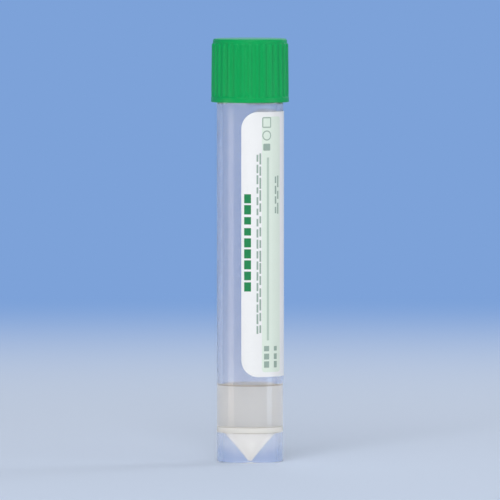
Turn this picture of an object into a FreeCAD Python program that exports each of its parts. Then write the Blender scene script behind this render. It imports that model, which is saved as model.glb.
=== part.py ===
"""Screw-capped specimen swab tube that stands on its own skirt.

Five pieces: the moulded tube, its ribbed screw cap, the soft liner that seals the rim and catches the
snapped swab stick, the liquid medium, and the wrap-round label. Millimetres. The origin is on the tube's
axis at the level of the foot ring, with +Z up, and the front of the object faces -Y.
"""
import FreeCAD, Part
import os

import Sketcher

# Driving sizes: alias, value in mm (or degrees, or a count), meaning.
SIZES = [
    ("tube_height", 77.9, "foot ring to rim"),
    ("tube_diameter", 12.6, "outside of the tube's body"),
    ("tube_wall", 1.1, "wall of the body and of the skirt"),
    ("tip_clearance", 0.4, "gate mark of the conical bottom above the foot ring"),
    ("tip_radius", 0.3, "flat gate mark on the tip of the cone"),
    ("cone_half_angle", 42.0, "half the angle of the conical bottom"),
    ("cone_wall", 0.6, "wall of the conical bottom, square to it"),
    ("foot_bevel", 0.2, "broken edges of the foot ring"),
    ("rim_bevel", 0.15, "broken edges of the rim"),
    ("neck_wall", 0.6, "wall of the neck under the thread"),
    ("shoulder_gap", 0.3, "body's shoulder below the mouth of the cap"),
    ("thread_starts", 2, "starts of the screw thread"),
    ("thread_lead", 5.0, "rise of the cap in one turn"),
    ("thread_turns", 1.15, "turns that each start makes"),
    ("thread_depth", 0.45, "height of a ridge"),
    ("thread_foot_width", 1.05, "width of a ridge at its foot, along the axis"),
    ("thread_crest_width", 0.45, "width of a ridge at its crest, along the axis"),
    ("thread_side_gap", 0.15, "running clearance at the crests"),
    ("thread_flank_gap", 0.2, "clearance between the loaded flanks, along the axis"),
    ("thread_below_rim", 1.3, "rim to the middle of the ridge's upper end"),
    ("root_bite", 0.2, "depth at which ridges and ribs start inside their wall"),
    ("cap_height", 12.0, "mouth to top of the cap"),
    ("cap_wall", 0.6, "wall between the ribs, at the shoulder"),
    ("cap_top_wall", 1.3, "wall of the cap's top"),
    ("cap_flare", 0.1, "growth of the cap's radius from shoulder to rim"),
    ("cap_rim_height", 0.9, "plain band round the mouth of the cap"),
    ("cap_rim_overhang", 0.04, "plain band beyond the crests of the ribs"),
    ("cap_top_round", 0.5, "round of the top edge, made by two flats"),
    ("cap_mouth_bevel", 0.25, "lead-in bevel inside the mouth"),
    ("rib_count", 32, "grip ribs round the cap"),
    ("rib_height", 0.22, "rib beyond the wall"),
    ("rib_foot_width", 0.9, "width of a rib at the wall"),
    ("rib_crest_width", 0.4, "width of a rib at its crest"),
    ("rib_top_margin", 0.8, "smooth band between the ribs and the top"),
    ("rib_run_out", 0.35, "height over which a rib fades into the wall"),
    ("rib_end_height", 0.01, "rib beyond the wall at the end of its run-out"),
    ("liner_thickness", 0.8, "flange pressed on the rim"),
    ("liner_side_gap", 0.1, "flange to the cap's inner wall"),
    ("plug_gap", 0.1, "sealing ring to the bore"),
    ("plug_depth", 1.6, "length of the sealing ring"),
    ("plug_wall", 0.5, "wall of the sealing ring"),
    ("plug_taper", 0.1, "lead-in of the sealing ring, at its lower edge"),
    ("funnel_depth", 6.0, "rim to the mouth of the catching funnel"),
    ("funnel_gap", 0.4, "mouth of the funnel to the bore"),
    ("funnel_wall", 0.5, "wall of the funnel"),
    ("socket_radius", 0.55, "socket that grips the swab stick"),
    ("socket_depth", 1.2, "length of the socket"),
    ("socket_roof", 0.35, "skin above the socket"),
    ("liquid_level", 14.1, "foot ring to the middle of the liquid's surface"),
    ("liquid_gap", 0.02, "drawing gap between the liquid and the walls"),
    ("meniscus_radius", 1.4, "curve of the liquid up the wall"),
    ("contact_angle", 30.0, "angle at which the liquid meets the wall"),
    ("label_bottom", 16.3, "foot ring to the label's lower edge"),
    ("label_top_margin", 1.4, "label's upper edge below the body's shoulder"),
    ("label_width", 22.0, "width of the label, round the tube"),
    ("label_left_angle", 14.8, "label's left edge, left of the front"),
    ("label_thickness", 0.1, "paper and its glue"),
    ("label_gap", 0.02, "drawing gap between label and tube"),
    ("label_corner", 3.2, "rounded corners of the label"),
]

# Sizes that follow from the driving ones, as expressions on the sheet.
TUBE_RADIUS = "(Sizes.tube_diameter / 2)"
BORE_RADIUS = f"({TUBE_RADIUS} - Sizes.tube_wall)"
RIM = "Sizes.tube_height"
NECK_RADIUS = f"({BORE_RADIUS} + Sizes.neck_wall)"
CAP_CEILING = f"({RIM} + Sizes.liner_thickness)"
CAP_TOP = f"({CAP_CEILING} + Sizes.cap_top_wall)"
CAP_MOUTH = f"({CAP_TOP} - Sizes.cap_height)"
CAP_BORE = f"({NECK_RADIUS} + Sizes.thread_depth + Sizes.thread_side_gap)"
SHOULDER = f"({CAP_MOUTH} - Sizes.shoulder_gap)"

# The cone leaves the gate mark at its half angle: height at a radius is that of its tip plus the rise.
CONE_SLOPE = "tan(90 - Sizes.cone_half_angle)"
CONE_THICKNESS = "(Sizes.cone_wall / sin(Sizes.cone_half_angle))"
CONE_ROOT = f"(Sizes.tip_clearance + ({BORE_RADIUS} - Sizes.tip_radius) * {CONE_SLOPE})"
CONE_TIP_INSIDE = f"(Sizes.tip_clearance + {CONE_THICKNESS})"
CONE_TOP_INSIDE = f"({CONE_ROOT} + {CONE_THICKNESS})"

# The loaded flanks of the two threads lie side by side: the cap's ridge runs below the tube's ridge.
FLANK_SLOPE = "((Sizes.thread_foot_width - Sizes.thread_crest_width) / (2 * Sizes.thread_depth))"
THREAD_RISE = "(Sizes.thread_lead * Sizes.thread_turns)"
TUBE_THREAD_START = f"({RIM} - Sizes.thread_below_rim - {THREAD_RISE})"
CAP_THREAD_START = (
    f"({TUBE_THREAD_START} - Sizes.thread_foot_width - Sizes.thread_flank_gap"
    f" + (Sizes.thread_depth + Sizes.thread_side_gap) * {FLANK_SLOPE})"
)

# Outside of the cap, between the ribs.
SHOULDER_RADIUS = f"({CAP_BORE} + Sizes.cap_wall)"
SKIRT_RADIUS = f"({SHOULDER_RADIUS} + Sizes.cap_flare)"
RIM_BAND_TOP = f"({CAP_MOUTH} + Sizes.cap_rim_height)"
RIM_BAND_RADIUS = f"({SKIRT_RADIUS} + Sizes.rib_height + Sizes.cap_rim_overhang)"
RIB_TOP = f"({CAP_TOP} - Sizes.rib_top_margin)"

LABEL_HEIGHT = f"({SHOULDER} - Sizes.label_top_margin - Sizes.label_bottom)"

THICKENING_TOLERANCE = 1e-4  # mm, how closely the label's sheet is thickened


def make_sheet(doc):
    """Put the driving sizes in a spreadsheet, one alias to a row."""
    sheet = doc.addObject("Spreadsheet::Sheet", "Sizes")
    for row, (alias, value, meaning) in enumerate(SIZES, start=1):
        sheet.set(f"A{row}", meaning)
        sheet.set(f"B{row}", str(value))
        sheet.setAlias(f"B{row}", alias)
    doc.recompute()
    return sheet


def value_of(doc, expression):
    """The number that an expression on the sheet gives."""
    return float(doc.Sizes.evalExpression(expression))


def origin_item(body, role):
    """A plane or an axis of the body's own origin."""
    return next(item for item in body.Origin.OriginFeatures if item.Role == role)


def new_body(doc, label):
    """An empty body whose label is the name of its piece."""
    body = doc.addObject("PartDesign::Body", label)
    body.Label = label
    return body


def polygon_sketch(body, name, corners, role="XZ_Plane", height=None):
    """A closed outline of straight edges, each corner held by two expressions (across, up)."""
    doc = body.Document
    sketch = body.newObject("Sketcher::SketchObject", name)
    sketch.AttachmentSupport = [(origin_item(body, role), "")]
    sketch.MapMode = "FlatFace"
    if height is not None:
        sketch.setExpression("AttachmentOffset.Base.z", height)
    places = [FreeCAD.Vector(value_of(doc, x), value_of(doc, y), 0) for x, y in corners]
    count = len(corners)
    for index in range(count):
        sketch.addGeometry(Part.LineSegment(places[index], places[(index + 1) % count]))
    for index in range(count):
        sketch.addConstraint(Sketcher.Constraint("Coincident", index, 2, (index + 1) % count, 1))
    for index, (corner, place) in enumerate(zip(corners, places)):
        hold_corner(sketch, index, corner, place)
    return sketch


def hold_corner(sketch, index, corner, place):
    """Tie the start of one edge to its expressions, or to an axis of the sketch where they are 0."""
    for kind, axis, expression, number in (
        ("DistanceX", -2, corner[0], place.x),
        ("DistanceY", -1, corner[1], place.y),
    ):
        if expression == "0":
            sketch.addConstraint(Sketcher.Constraint("PointOnObject", index, 1, axis))
            continue
        name = f"{kind}_{index}"
        held = sketch.addConstraint(Sketcher.Constraint(kind, -1, 1, index, 1, number))
        sketch.renameConstraint(held, name)
        sketch.setExpression(f"Constraints.{name}", expression)


def revolve(body, sketch, name, angle=None):
    """Turn an outline about the body's axis, all the way round unless an angle is given."""
    turned = body.newObject("PartDesign::Revolution", name)
    turned.Profile = sketch
    turned.ReferenceAxis = (origin_item(body, "Z_Axis"), [""])
    turned.Angle = 360
    if angle is not None:
        turned.setExpression("Angle", angle)
    body.Document.recompute()
    return turned


def pattern_round(body, feature, name, count):
    """Repeat a feature evenly round the body's axis."""
    pattern = body.newObject("PartDesign::PolarPattern", name)
    pattern.Originals = [feature]
    pattern.Axis = (origin_item(body, "Z_Axis"), [""])
    pattern.Angle = 360
    pattern.setExpression("Occurrences", count)
    body.Tip = pattern
    body.Document.recompute()
    return pattern


def add_thread(body, root, start, outward):
    """Helical ridges on a round wall, all starts, standing outward or inward from the root radius."""
    side = "+" if outward else "-"
    back = "-" if outward else "+"
    inside = f"({root} {back} Sizes.root_bite)"
    crest = f"({root} {side} Sizes.thread_depth)"
    half_foot = "Sizes.thread_foot_width / 2"
    half_crest = "Sizes.thread_crest_width / 2"
    corners = [
        (inside, f"{start} - {half_foot}"),
        (root, f"{start} - {half_foot}"),
        (crest, f"{start} - {half_crest}"),
        (crest, f"{start} + {half_crest}"),
        (root, f"{start} + {half_foot}"),
        (inside, f"{start} + {half_foot}"),
    ]
    ridge = polygon_sketch(body, "RidgeSection", corners)
    helix = body.newObject("PartDesign::AdditiveHelix", "Ridge")
    helix.Profile = ridge
    helix.ReferenceAxis = (ridge, ["V_Axis"])
    helix.Mode = "pitch-height-angle"
    helix.setExpression("Pitch", "Sizes.thread_lead")
    helix.setExpression("Height", THREAD_RISE)
    body.Document.recompute()
    pattern_round(body, helix, "Thread", "Sizes.thread_starts")


def make_tube(doc):
    """The moulded tube: conical bottom inside a standing skirt, straight body, threaded neck."""
    body = new_body(doc, "tube")
    foot, rim = "Sizes.foot_bevel", "Sizes.rim_bevel"
    corners = [
        (f"{BORE_RADIUS} + {foot}", "0"),
        (f"{TUBE_RADIUS} - {foot}", "0"),
        (TUBE_RADIUS, foot),
        (TUBE_RADIUS, SHOULDER),
        (NECK_RADIUS, f"{SHOULDER} + {TUBE_RADIUS} - {NECK_RADIUS}"),
        (NECK_RADIUS, f"{RIM} - {rim}"),
        (f"{NECK_RADIUS} - {rim}", RIM),
        (f"{BORE_RADIUS} + {rim}", RIM),
        (BORE_RADIUS, f"{RIM} - {rim}"),
        (BORE_RADIUS, CONE_TOP_INSIDE),
        ("Sizes.tip_radius", CONE_TIP_INSIDE),
        ("0", CONE_TIP_INSIDE),
        ("0", "Sizes.tip_clearance"),
        ("Sizes.tip_radius", "Sizes.tip_clearance"),
        (BORE_RADIUS, CONE_ROOT),
        (BORE_RADIUS, foot),
    ]
    revolve(body, polygon_sketch(body, "WallSection", corners), "Wall")
    add_thread(body, NECK_RADIUS, TUBE_THREAD_START, outward=True)
    return body


def make_cap(doc):
    """The moulded screw cap: drafted skirt with grip ribs, plain rim band, two-start thread inside."""
    body = new_body(doc, "cap")
    bevel = "Sizes.cap_mouth_bevel"
    # The top edge is rounded by two flats, whose corners lie on the round.
    rounding = "Sizes.cap_top_round"
    halfway = f"{rounding} * (1 - cos(45))"
    corners = [
        (f"{CAP_BORE} + {bevel}", CAP_MOUTH),
        (RIM_BAND_RADIUS, CAP_MOUTH),
        (RIM_BAND_RADIUS, RIM_BAND_TOP),
        (SKIRT_RADIUS, f"{RIM_BAND_TOP} + {RIM_BAND_RADIUS} - {SKIRT_RADIUS}"),
        (SHOULDER_RADIUS, RIB_TOP),
        (SHOULDER_RADIUS, f"{CAP_TOP} - {rounding}"),
        (f"{SHOULDER_RADIUS} - {halfway}", f"{CAP_TOP} - {halfway}"),
        (f"{SHOULDER_RADIUS} - {rounding}", CAP_TOP),
        ("0", CAP_TOP),
        ("0", CAP_CEILING),
        (CAP_BORE, CAP_CEILING),
        (CAP_BORE, f"{CAP_MOUTH} + {bevel}"),
    ]
    revolve(body, polygon_sketch(body, "ShellSection", corners), "Shell")
    add_thread(body, CAP_BORE, CAP_THREAD_START, outward=False)
    add_ribs(body)
    return body


def rib_section(body, name, wall_radius, height, reach):
    """Cross-section of a rib at one height: its crest stands reach beyond the wall, on even flanks."""
    foot = f"({wall_radius} - Sizes.root_bite)"
    crest = f"({wall_radius} + {reach})"
    half_foot = "Sizes.rib_foot_width / 2"
    draft = "(Sizes.rib_foot_width - Sizes.rib_crest_width) / (2 * Sizes.rib_height)"
    half_crest = f"({half_foot} - {reach} * {draft})"
    corners = [
        (foot, f"-{half_foot}"),
        (wall_radius, f"-{half_foot}"),
        (crest, f"-{half_crest}"),
        (crest, half_crest),
        (wall_radius, half_foot),
        (foot, half_foot),
    ]
    return polygon_sketch(body, name, corners, role="XY_Plane", height=height)


def add_ribs(body):
    """Grip ribs from the rim band up to the smooth shoulder, where each fades into the wall."""
    fade_start = f"({RIB_TOP} - Sizes.rib_run_out)"
    sections = [
        rib_section(body, "RibLow", SKIRT_RADIUS, RIM_BAND_TOP, "Sizes.rib_height"),
        rib_section(body, "RibHigh", SHOULDER_RADIUS, fade_start, "Sizes.rib_height"),
        rib_section(body, "RibEnd", SHOULDER_RADIUS, RIB_TOP, "Sizes.rib_end_height"),
    ]
    rib = body.newObject("PartDesign::AdditiveLoft", "Rib")
    rib.Profile = sections[0]
    rib.Sections = sections[1:]
    rib.Ruled = True
    body.Document.recompute()
    pattern_round(body, rib, "Ribs", "Sizes.rib_count")


def make_liner(doc):
    """The soft liner: flange on the rim, sealing ring in the mouth, funnel and socket for the stick."""
    body = new_body(doc, "cap_liner")
    flange_radius = f"{CAP_BORE} - Sizes.liner_side_gap"
    plug_radius = f"({BORE_RADIUS} - Sizes.plug_gap)"
    plug_inside = f"({plug_radius} - Sizes.plug_wall)"
    funnel_radius = f"({BORE_RADIUS} - Sizes.funnel_gap)"
    socket_top = f"({CAP_CEILING} - Sizes.socket_roof)"
    corners = [
        (flange_radius, RIM),
        (flange_radius, CAP_CEILING),
        ("0", CAP_CEILING),
        ("0", socket_top),
        ("Sizes.socket_radius", socket_top),
        ("Sizes.socket_radius", f"{socket_top} - Sizes.socket_depth"),
        (f"{funnel_radius} - Sizes.funnel_wall", f"{RIM} - Sizes.funnel_depth"),
        (funnel_radius, f"{RIM} - Sizes.funnel_depth"),
        ("Sizes.socket_radius + Sizes.funnel_wall", RIM),
        (plug_inside, RIM),
        (plug_inside, f"{RIM} - Sizes.plug_depth"),
        (f"{plug_radius} - Sizes.plug_taper", f"{RIM} - Sizes.plug_depth"),
        (plug_radius, RIM),
    ]
    revolve(body, polygon_sketch(body, "LinerSection", corners), "Liner")
    return body


def make_medium(doc):
    """The liquid: it fills the cone and the foot of the bore, and its surface curves up at the wall."""
    body = new_body(doc, "medium")
    gap = "Sizes.liquid_gap"
    radius = f"({BORE_RADIUS} - {gap})"
    side_top = "(Sizes.liquid_level + Sizes.meniscus_radius * (1 - sin(Sizes.contact_angle)))"
    flat_radius = f"({radius} - Sizes.meniscus_radius * cos(Sizes.contact_angle))"
    lift = f"({gap} / sin(Sizes.cone_half_angle))"
    corners = [
        ("0", f"{CONE_TIP_INSIDE} + {gap}"),
        ("Sizes.tip_radius", f"{CONE_TIP_INSIDE} + {lift}"),
        (radius, f"{CONE_TOP_INSIDE} + {lift}"),
        (radius, side_top),
        (flat_radius, "Sizes.liquid_level"),
        ("0", "Sizes.liquid_level"),
    ]
    sketch = polygon_sketch(body, "LiquidSection", corners)
    bend_meniscus(sketch, edge=3)
    revolve(body, sketch, "Liquid")
    return body


def bend_meniscus(sketch, edge):
    """Swap the straight edge at the liquid's margin for the arc of the meniscus."""
    doc = sketch.Document
    line = sketch.Geometry[edge]
    radius = value_of(doc, "Sizes.meniscus_radius")
    centre = line.EndPoint + FreeCAD.Vector(0, radius, 0)
    circle = Part.Circle(centre, FreeCAD.Vector(0, 0, 1), radius)
    start, end = (circle.parameter(point) for point in (line.EndPoint, line.StartPoint))
    sketch.toggleConstruction(edge)
    arc = sketch.addGeometry(Part.ArcOfCircle(circle, start, end))
    sketch.addConstraint(Sketcher.Constraint("Coincident", arc, 1, edge, 2))
    sketch.addConstraint(Sketcher.Constraint("Coincident", arc, 2, edge, 1))
    held = sketch.addConstraint(Sketcher.Constraint("Radius", arc, radius))
    sketch.renameConstraint(held, "MeniscusRadius")
    sketch.setExpression("Constraints.MeniscusRadius", "Sizes.meniscus_radius")


def make_label(doc):
    """The paper label: a thin sheet wrapped round the body, with rounded corners."""
    radius = value_of(doc, f"{TUBE_RADIUS} + Sizes.label_gap")
    sheet = wrapped_sheet(
        radius,
        value_of(doc, "Sizes.label_width") / radius,
        value_of(doc, "Sizes.label_bottom"),
        value_of(doc, LABEL_HEIGHT),
        value_of(doc, "Sizes.label_corner"),
    )
    label = doc.addObject("Part::Feature", "label")
    label.Label = "label"
    thickness = value_of(doc, "Sizes.label_thickness")
    label.Shape = sheet.makeOffsetShape(thickness, THICKENING_TOLERANCE, fill=True)
    left = value_of(doc, "-90 - Sizes.label_left_angle")
    turn = FreeCAD.Rotation(FreeCAD.Vector(0, 0, 1), left)
    label.Placement = FreeCAD.Placement(FreeCAD.Vector(), turn)
    return label


def wrapped_sheet(radius, angle, bottom, height, corner):
    """Face on an upright cylinder: a rectangle from angle 0 (in radians) with rounded corners."""
    surface = Part.Cylinder()
    surface.Radius = radius
    bend = corner / radius
    low, high = bottom + corner, bottom + height - corner
    centres = [(angle - bend, low), (angle - bend, high), (bend, high), (bend, low)]
    directions = [(0, -1), (1, 0), (0, 1), (-1, 0)]
    point = FreeCAD.Base.Vector2d
    edges = []
    for index, (across, up) in enumerate(centres):
        first, second = directions[index], directions[(index + 1) % 4]
        start = point(across + first[0] * bend, up + first[1] * corner)
        end = point(across + second[0] * bend, up + second[1] * corner)
        ellipse = Part.Geom2d.Ellipse2d(
            point(across, up + corner), point(across + bend, up), point(across, up)
        )
        arc = Part.Geom2d.ArcOfEllipse2d(ellipse, ellipse.parameter(end), ellipse.parameter(start))
        edges.append(arc.toShape(surface))
        next_across, next_up = centres[(index + 1) % 4]
        next_start = point(next_across + second[0] * bend, next_up + second[1] * corner)
        edges.append(Part.Geom2d.Line2dSegment(end, next_start).toShape(surface))
    face = Part.Face(surface, Part.Wire(Part.__sortEdges__(edges)))
    face.validate()
    return face


def check_objects(doc, pieces):
    """Stop if anything in the document failed, or if a piece isn't one sound solid."""
    for item in doc.Objects:
        if "Invalid" in item.State or "Error" in item.State:
            raise RuntimeError(f"{item.Name} failed: {item.State}")
    for piece in pieces:
        shape = piece.Shape
        if shape.isNull() or not shape.isValid() or len(shape.Solids) != 1:
            raise RuntimeError(f"{piece.Label} isn't one valid solid")


def main():
    """Build the document and write each piece to parts/."""
    doc = FreeCAD.newDocument("swab_tube")
    make_sheet(doc)
    pieces = [make_tube(doc), make_cap(doc), make_liner(doc), make_medium(doc), make_label(doc)]
    doc.recompute()
    check_objects(doc, pieces)
    os.makedirs("parts", exist_ok=True)
    for piece in pieces:
        piece.Shape.exportStep(f"parts/{piece.Label}.step")
        box = piece.Shape.BoundBox
        print(
            f"{piece.Label}: {piece.Shape.Volume:.2f} mm3, {len(piece.Shape.Faces)} faces,"
            f" x {box.XMin:.2f} {box.XMax:.2f}, y {box.YMin:.2f} {box.YMax:.2f},"
            f" z {box.ZMin:.2f} {box.ZMax:.2f}"
        )


main()
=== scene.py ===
"""Dress a screw-capped specimen swab tube: moulded tube, ribbed cap, liner, liquid and label."""

import logging
import math
from dataclasses import dataclass
from enum import Enum, IntEnum
from typing import Any

import bmesh
import bpy
from bpy.types import ID, Material, NodeOutputs, NodeSocket, NodeTree, Object, World
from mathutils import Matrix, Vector


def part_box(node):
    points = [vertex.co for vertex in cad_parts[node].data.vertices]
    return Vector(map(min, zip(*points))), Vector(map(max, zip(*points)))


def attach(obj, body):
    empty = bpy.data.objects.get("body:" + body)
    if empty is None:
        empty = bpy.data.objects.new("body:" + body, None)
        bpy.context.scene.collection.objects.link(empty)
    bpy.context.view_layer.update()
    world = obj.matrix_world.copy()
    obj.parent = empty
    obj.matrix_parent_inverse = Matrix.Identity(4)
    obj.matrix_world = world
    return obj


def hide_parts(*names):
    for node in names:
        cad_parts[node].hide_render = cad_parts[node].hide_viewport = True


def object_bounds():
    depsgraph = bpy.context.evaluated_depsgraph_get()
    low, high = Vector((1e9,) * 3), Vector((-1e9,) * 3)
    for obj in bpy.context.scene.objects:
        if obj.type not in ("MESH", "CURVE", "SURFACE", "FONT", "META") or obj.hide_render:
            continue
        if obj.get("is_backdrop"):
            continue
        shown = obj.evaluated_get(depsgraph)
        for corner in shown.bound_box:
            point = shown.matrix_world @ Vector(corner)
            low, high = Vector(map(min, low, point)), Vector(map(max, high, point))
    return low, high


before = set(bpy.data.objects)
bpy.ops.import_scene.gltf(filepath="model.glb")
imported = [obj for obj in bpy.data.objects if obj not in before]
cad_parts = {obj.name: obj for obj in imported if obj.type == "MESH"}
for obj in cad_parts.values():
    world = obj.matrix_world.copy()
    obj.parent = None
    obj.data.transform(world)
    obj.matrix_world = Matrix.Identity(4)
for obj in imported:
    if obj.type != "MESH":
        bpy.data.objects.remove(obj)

log = logging.getLogger("swab_tube")

MM = 0.001  # one millimetre, in the scene's metres
ON_AXIS = 1e-6  # radius, in millimetres, under which a ring is a point on the axis
ON_WALL = 0.02  # how far, in millimetres, a point may lie off a wall's radius and still be on the wall
ARC_STEP = 15  # degrees from one ring of a rounded corner to the next, at most
ARC_RUNS = 3  # runs in a rounded corner, at least
FINE_FACES = 192  # faces round a wall that is clear, so that its edges bend no light that shows
PLAIN_FACES = 128  # faces round a piece that is hidden
DASH_EDGES = 4  # upright edges across a printed dash, so that it can bend round the tube
INK_FILM = 0.012  # how far print stands off the label, in millimetres
NONE_YET = 0.5  # a ray's count of bounces is 0 if it is less than this


# ---- Nodes and colours


def linear(hex_colour: str) -> tuple[float, float, float, float]:
    """Turn an sRGB colour into the linear numbers that a shader takes.

    Args:
        hex_colour: The colour as "#RRGGBB".

    Returns:
        Linear red, green and blue, and an alpha of 1.
    """
    shares = [int(hex_colour[i : i + 2], 16) / 255 for i in (1, 3, 5)]
    red, green, blue = (s / 12.92 if s <= 0.04045 else ((s + 0.055) / 1.055) ** 2.4 for s in shares)
    return (red, green, blue, 1.0)


def add_node(
    tree: NodeTree, kind: str, inputs: dict[str | int, Any] | None = None, **settings: Any
) -> NodeOutputs:
    """Add a node to a tree.

    Args:
        tree: The shader or geometry tree.
        kind: The node's type name.
        inputs: A value, or an output socket to link, for each input by name or place.
        settings: The node's own properties.

    Returns:
        The new node's outputs.
    """
    node = tree.nodes.new(kind)
    for name, value in settings.items():
        setattr(node, name, value)
    for key, value in (inputs or {}).items():
        if isinstance(value, NodeSocket):
            tree.links.new(value, node.inputs[key])
        else:
            node.inputs[key].default_value = value
    return node.outputs


def work_out(tree: NodeTree, formula: Any) -> Any:
    """Build a formula in a tree.

    Args:
        tree: The shader or geometry tree.
        formula: A number, a socket, or a tuple: an operation's name, or VECTOR, and then its terms, each
            of them a formula too.

    Returns:
        The number, or the socket that holds the result.
    """
    if not isinstance(formula, tuple):
        return formula
    operation, *terms = formula
    inputs = {place: work_out(tree, term) for place, term in enumerate(terms)}
    if operation == "VECTOR":
        return add_node(tree, "ShaderNodeCombineXYZ", inputs)[0]
    return add_node(tree, "ShaderNodeMath", inputs, operation=operation)[0]


def empty_tree(owner: Material | World) -> NodeTree:
    """Give a material or a world an empty node tree.

    Args:
        owner: The material or the world.

    Returns:
        Its tree.
    """
    owner.use_nodes = True
    owner.node_tree.nodes.clear()
    return owner.node_tree


def placed(name: str, data: ID) -> Object:
    """Put a mesh, a lamp or a camera into the scene.

    Args:
        name: Name of the object.
        data: The mesh, the lamp or the camera.

    Returns:
        The new object.
    """
    item = bpy.data.objects.new(name, data)
    bpy.context.scene.collection.objects.link(item)
    return item


# ---- Finishes


@dataclass(frozen=True)
class Finish:
    """A surface as its maker would name it: colour, gloss and the fine grain of its making."""

    name: str
    colour: str
    second_colour: str
    roughness: float
    roughness_spread: float = 0.04
    grain_mm: float = 0.8
    relief_mm: float = 0.004
    stretch: float = 1.0
    ior: float = 1.49
    clarity: float = 0.0
    specular: float = 0.5
    grain_octaves: float = 3.0
    grain_octave_share: float = 0.55
    grain_low: float = 0.3
    grain_high: float = 0.7

    def material(self) -> Material:
        """Make the material once: grain from noise in the object's own millimetres, on one shader.

        Returns:
            The material.
        """
        found = bpy.data.materials.get(self.name)
        if found:
            return found
        material = bpy.data.materials.new(self.name)
        tree = empty_tree(material)
        place = add_node(tree, "ShaderNodeTexCoord")["Object"]
        inputs = {"Vector": place, "Scale": (1, 1, 1 / self.stretch)}
        stretched = add_node(tree, "ShaderNodeMapping", inputs)["Vector"]
        inputs = {
            "Vector": stretched,
            "Scale": 1 / (self.grain_mm * MM),
            "Detail": self.grain_octaves,
            "Roughness": self.grain_octave_share,
        }
        grain = add_node(tree, "ShaderNodeTexNoise", inputs)["Fac"]
        # Places 6 and 7 are the Mix node's two colours, and its output 2 is their mixture.
        inputs = {0: grain, 6: linear(self.colour), 7: linear(self.second_colour)}
        colour = add_node(tree, "ShaderNodeMix", inputs, data_type="RGBA")[2]
        inputs = {
            "Value": grain,
            "From Min": self.grain_low,
            "From Max": self.grain_high,
            "To Min": self.roughness - self.roughness_spread,
            "To Max": self.roughness + self.roughness_spread,
        }
        gloss = add_node(tree, "ShaderNodeMapRange", inputs)["Result"]
        inputs = {"Height": grain, "Distance": self.relief_mm * MM, "Strength": 1.0}
        bump = add_node(tree, "ShaderNodeBump", inputs)["Normal"]
        inputs = {
            "Base Color": colour,
            "Roughness": gloss,
            "Normal": bump,
            "IOR": self.ior,
            "Transmission Weight": self.clarity,
            "Specular IOR Level": self.specular,
        }
        shader = add_node(tree, "ShaderNodeBsdfPrincipled", inputs)["BSDF"]
        add_node(tree, "ShaderNodeOutputMaterial", {"Surface": shader})
        return material


# Natural polypropylene, injection moulded against a polished steel mould: milky, glossy, clear enough
# to show what touches the wall and to blur what is further off.
TUBE_OUTSIDE = Finish(
    "natural_polypropylene_polished", "#F5F6FC", "#EFF1F9", 0.12, 0.02, 1.5, 0.0015, 6.0, clarity=0.86
)
# The bore comes off a plain core pin: the same plastic, a little duller.
TUBE_BORE = Finish(
    "natural_polypropylene_core_side", "#F5F6FB", "#F0F1F8", 0.14, 0.01, 1.2, 0.002, 3.0, clarity=0.86
)
# The skirt is open below and has no liquid in it, so its wall shows what stands inside.
TUBE_SKIRT = Finish(
    "natural_polypropylene_skirt_side", "#F4F5F9", "#EFF0F5", 0.14, 0.01, 1.2, 0.002, 3.0, clarity=0.94
)
# The same wall under liquid: the plastic bends light much less against water than against air. Its low
# clarity and pale colour whiten it: painted light, standing in for the light that the liquid's lens
# gathers from round about.
TUBE_WETTED_PAINTED_LIGHT = Finish(
    "natural_polypropylene_wetted_painted_light", "#F5F5F3", "#F0F0EE", 0.12, 0.02, 1.2, 0.001, 3.0,
    ior=1.12, clarity=0.3,
)
# Where the liquid's curved margin meets the wall, the wall is given a warm straw tint and less clarity:
# painted shade, standing in for the dark line that the curved liquid surface makes by bending light.
TUBE_MARGIN_PAINTED_SHADE = Finish(
    "natural_polypropylene_at_margin_painted_shade", "#F6EAD6", "#F1E1C9", 0.12, 0.02, 1.2, 0.001, 3.0,
    ior=1.12, clarity=0.68,
)
# Where cone, skirt and wall meet the section is thickest, and thick natural plastic turns white.
TUBE_WEB = Finish(
    "natural_polypropylene_thick_section", "#F3F3F1", "#EFEEEC", 0.14, 0.01, 1.0, 0.001, clarity=0.22
)
# The cone is made a near-opaque warm white, whiter than the wall: painted light, standing in for the
# light that reaches it from all round, which the floor here shuts out.
TUBE_CONE_PAINTED_LIGHT = Finish(
    "natural_polypropylene_cone_painted_light", "#FBF7EB", "#F7F3E7", 0.14, 0.01, 1.0, 0.0015, ior=1.3, clarity=0.06
)
# Buffered salt solution, all but colourless where it is seen across: clear and mirror-smooth.
LIQUID_SURFACE = Finish(
    "transport_liquid_surface", "#FCFAF4", "#FAF7EF", 0.03, 0.01, 2.0, 0.001, ior=1.33, clarity=1.0
)
# The liquid's curved margin is seen along its length, so a little more of its straw colour shows.
LIQUID_MARGIN = Finish(
    "transport_liquid_margin", "#FCF8EF", "#F9F3E7", 0.04, 0.01, 2.0, 0.001, ior=1.33, clarity=0.98
)
# Where the liquid touches the wall, the wall's own finish does all the bending of light.
LIQUID_SIDE = Finish(
    "transport_liquid_side", "#FDF8EC", "#F9F3E5", 0.02, 0.01, 2.0, 0.001, ior=1.0, clarity=0.7
)
# Green polypropylene, injection moulded: satin gloss with a faint orange-peel from the mould's grain.
CAP_GREEN = Finish(
    "green_polypropylene_satin", "#00A657", "#009F51", 0.36, 0.04, 0.4, 0.002, specular=0.25
)
# Natural low-density polyethylene: waxy white, soft sheen.
LINER_WHITE = Finish("natural_polyethylene_waxy", "#EDEFEC", "#E3E6E2", 0.42, 0.05, 0.6, 0.003)
# Coated label paper: bright white, fibres just felt under the coat, satin.
LABEL_PAPER = Finish("coated_label_paper", "#F2F4F7", "#ECEEF2", 0.34, 0.04, 0.35, 0.002, specular=0.5)
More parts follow.
